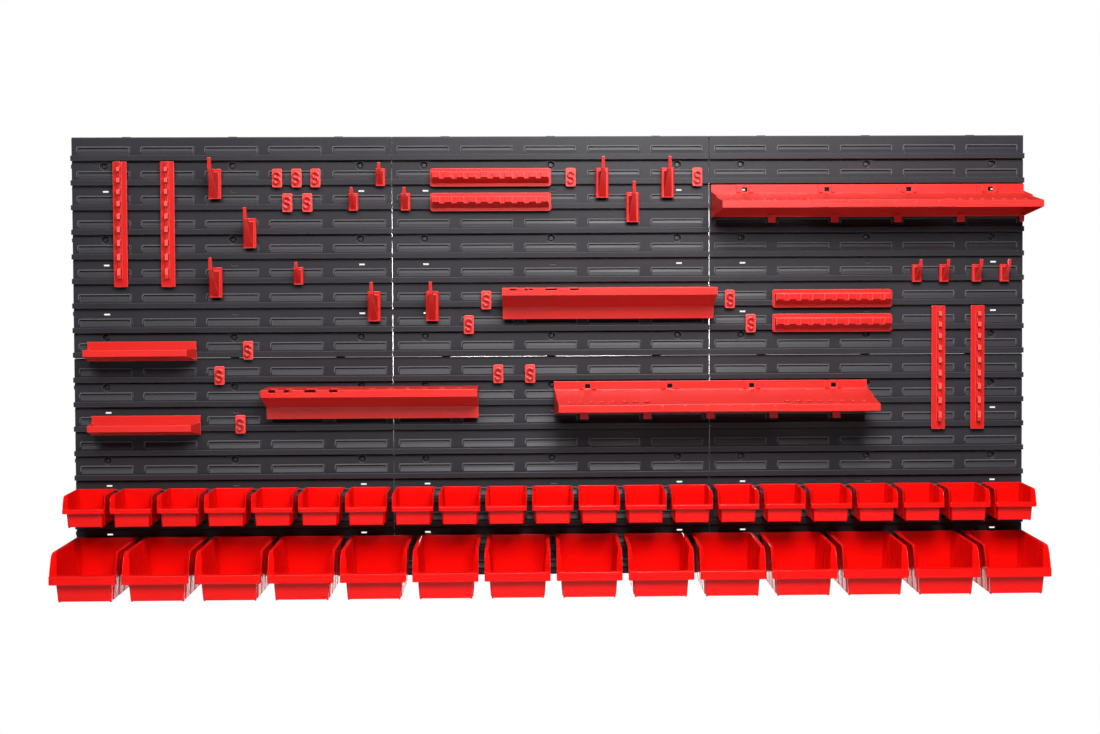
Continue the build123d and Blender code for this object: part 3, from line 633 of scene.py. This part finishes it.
def tooth_highlight_plates(name):
    """Lighter plates on the ends of a rack's teeth, a painted highlight. Gaps and teeth both grow evenly
    towards the foot.
    """
    low, high = map(np.array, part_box(name))
    number = np.arange(UPRIGHT_TEETH)
    gaps, teeth = 0.0116 + 0.00045 * number, 0.0074 + 0.0005 * number
    tops = high[2] + 0.001 - np.cumsum(gaps) - np.concatenate([[0.0], np.cumsum(teeth)[:-1]])
    middle = (low[0] + high[0]) / 2
    back, front = FIN_TIP - FACE_SUNK, FIN_TIP + FACE_PROUD
    solids = []
    for top, foot in zip(tops - FACE_MARGIN, tops - teeth + FACE_MARGIN):
        outline = [(back, foot), (front, foot), (front, top), (back, top)]
        solids.append(swept_outline(outline, middle - FIN_HALF, middle + FIN_HALF))
    points, faces = joined(solids)
    ends = closed_piece(name + "_tooth_highlight_plates", points * [1, -1, 1], faces, tooth_highlight_red)
    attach(ends, name)


for name in nodes:
    if name.startswith("rack_vertical_"):
        rounded(name, name, rack_red, RACK_RADIUS)
        tooth_highlight_plates(name)

# --- Hooks and tool clips -----------------------------------------------------------------------------
# Plates with a rising, narrowing arm, and small plates with an S-shaped spring ridge, of the rack's red.
HOOK_RADIUS = 0.0006
CLIP_FRONT = 0.0240
clip_red = moulded_plastic("clip_plastic", (0.66, 0.030, 0.026), (0.80, 0.048, 0.040), (0.95, 0.24, 0.20),
                           (0.72, 0.13, 0.11), (0.26, 0.42), 0.22, flow_scale=8.0, dust=0.2, highlight_amount=0.9,
                           ridge=(CLIP_FRONT, (0.42, 0.006, 0.006)))
for name in ("large_hooks", "small_hooks"):
    rounded(name, "wall_panels", rack_red, HOOK_RADIUS)
rounded("tool_clips", "wall_panels", clip_red, HOOK_RADIUS)

# --- Studio -------------------------------------------------------------------------------------------
# A pale floor well below the wall's bottom edge, a soft key light high in front and to the right, wide
# fills in front and straight behind, and a weak sky that is brighter overhead than below.
FLOOR_DROP = 0.5
FLOOR_RADIUS, FLOOR_POINTS = 60.0, 96
KEY_PLACE = (0.35, -1.60, 1.10)
KEY_SIZE = 0.8
KEY_POWER = 54.0
FILL_PLACE = (-0.9, -4.2, 3.4)
FILL_SIZE = 2.6
FILL_POWER = 195.0
BACK_PLACE = (0.0, 3.0, 0.0)
BACK_SIZE = 0.7
BACK_POWER = 90.0


def white_to_camera(tree, output, lit):
    """Shows plain white to the camera, and the lit shader to every other ray."""
    path = place(tree, "ShaderNodeLightPath", -1, 2)
    glow = place(tree, "ShaderNodeEmission" if output.type == "OUTPUT_MATERIAL" else "ShaderNodeBackground",
                 -1, 1, Color=(1.0, 1.0, 1.0, 1.0), Strength=1.0)
    mix = place(tree, "ShaderNodeMixShader", 0, 1)
    tree.links.new(path.outputs["Is Camera Ray"], mix.inputs[0])
    tree.links.new(lit, mix.inputs[1])
    tree.links.new(glow.outputs[0], mix.inputs[2])
    tree.links.new(mix.outputs[0], output.inputs["Surface"])


def build_floor():
    """A round, gently mottled pale floor, its rim a circle of points about its centre."""
    angles = np.linspace(0, 2 * np.pi, FLOOR_POINTS, endpoint=False)
    low = min(corner[2] for corner in cad_box) - FLOOR_DROP
    points = np.stack([FLOOR_RADIUS * np.cos(angles), FLOOR_RADIUS * np.sin(angles),
                       np.full(FLOOR_POINTS, low)], axis=1)
    mesh = bpy.data.meshes.new("floor")
    mesh.from_pydata(points.tolist(), [], [list(range(FLOOR_POINTS))])
    floor = bpy.data.objects.new("floor", mesh)
    bpy.context.scene.collection.objects.link(floor)
    material = bpy.data.materials.new("pale_floor")
    material.use_nodes = True
    tree = material.node_tree
    shader = tree.nodes["Principled BSDF"]
    grain_node = add_group(tree, GRAIN, -5, 0, Grain_scale=60.0, Flow_scale=0.6)
    tree.links.new(mixed(tree, -2, 0, grain_node.outputs["Tone"], (0.60, 0.60, 0.60), (0.66, 0.66, 0.66)),
                   shader.inputs["Base Color"])
    shader.inputs["Roughness"].default_value = 0.8
    white_to_camera(tree, tree.nodes["Material Output"], shader.outputs["BSDF"])
    mesh.materials.append(material)


def build_sky():
    """A sky whose strength climbs from the floor side to overhead."""
    world = bpy.data.worlds.new("studio")
    bpy.context.scene.world = world
    world.use_nodes = True
    tree = world.node_tree
    sky = tree.nodes["Background"]
    direction = place(tree, "ShaderNodeTexCoord", -5, 0)
    split = place(tree, "ShaderNodeSeparateXYZ", -4, 0)
    climb = place(tree, "ShaderNodeMapRange", -3, 0, From_Min=-0.25, From_Max=0.7, To_Min=0.05, To_Max=0.48)
    tree.links.new(direction.outputs["Generated"], split.inputs["Vector"])
    tree.links.new(split.outputs["Z"], climb.inputs["Value"])
    tree.links.new(climb.outputs["Result"], sky.inputs["Strength"])
    white_to_camera(tree, tree.nodes["World Output"], sky.outputs["Background"])


def add_light(name, place_at, aim, size, power):
    """A square soft light at a place, turned towards a point."""
    data = bpy.data.lights.new(name, "AREA")
    data.energy = power
    data.size = size
    light = bpy.data.objects.new(name, data)
    light.location = place_at
    way = np.array(aim) - np.array(place_at)
    light.rotation_euler = (math.acos(-way[2] / np.linalg.norm(way)), 0,
                            math.atan2(way[1], way[0]) - math.pi / 2)
    bpy.context.scene.collection.objects.link(light)


build_floor()
build_sky()
add_light("key", KEY_PLACE, (0.0, 0.0, -0.05), KEY_SIZE, KEY_POWER)
add_light("fill", FILL_PLACE, (0.0, 0.0, 0.0), FILL_SIZE, FILL_POWER)
add_light("back_fill", BACK_PLACE, (0.0, 0.0, 0.0), BACK_SIZE, BACK_POWER)
bpy.context.scene.view_settings.view_transform = "Standard"

# --- Camera -------------------------------------------------------------------------------------------
# Almost square on to the wall, a little above its middle and a little left of it.
CAMERA_PLACE = (-0.0339, -2.6889, 0.1873)
CAMERA_YAW, CAMERA_PITCH, CAMERA_ROLL = 1.246, -1.618, 0.24
CAMERA_LENS, CAMERA_SENSOR = 48.09, 36
CAMERA_SHIFT = (-0.0131, -0.0656)

camera_data = bpy.data.cameras.new("camera")
camera_data.lens = CAMERA_LENS
camera_data.sensor_width = CAMERA_SENSOR
camera_data.shift_x, camera_data.shift_y = CAMERA_SHIFT
camera = bpy.data.objects.new("camera", camera_data)
camera.location = CAMERA_PLACE
camera.rotation_euler = (math.radians(90 + CAMERA_PITCH), math.radians(CAMERA_ROLL),
                         -math.radians(CAMERA_YAW))
bpy.context.scene.collection.objects.link(camera)
bpy.context.scene.camera = camera
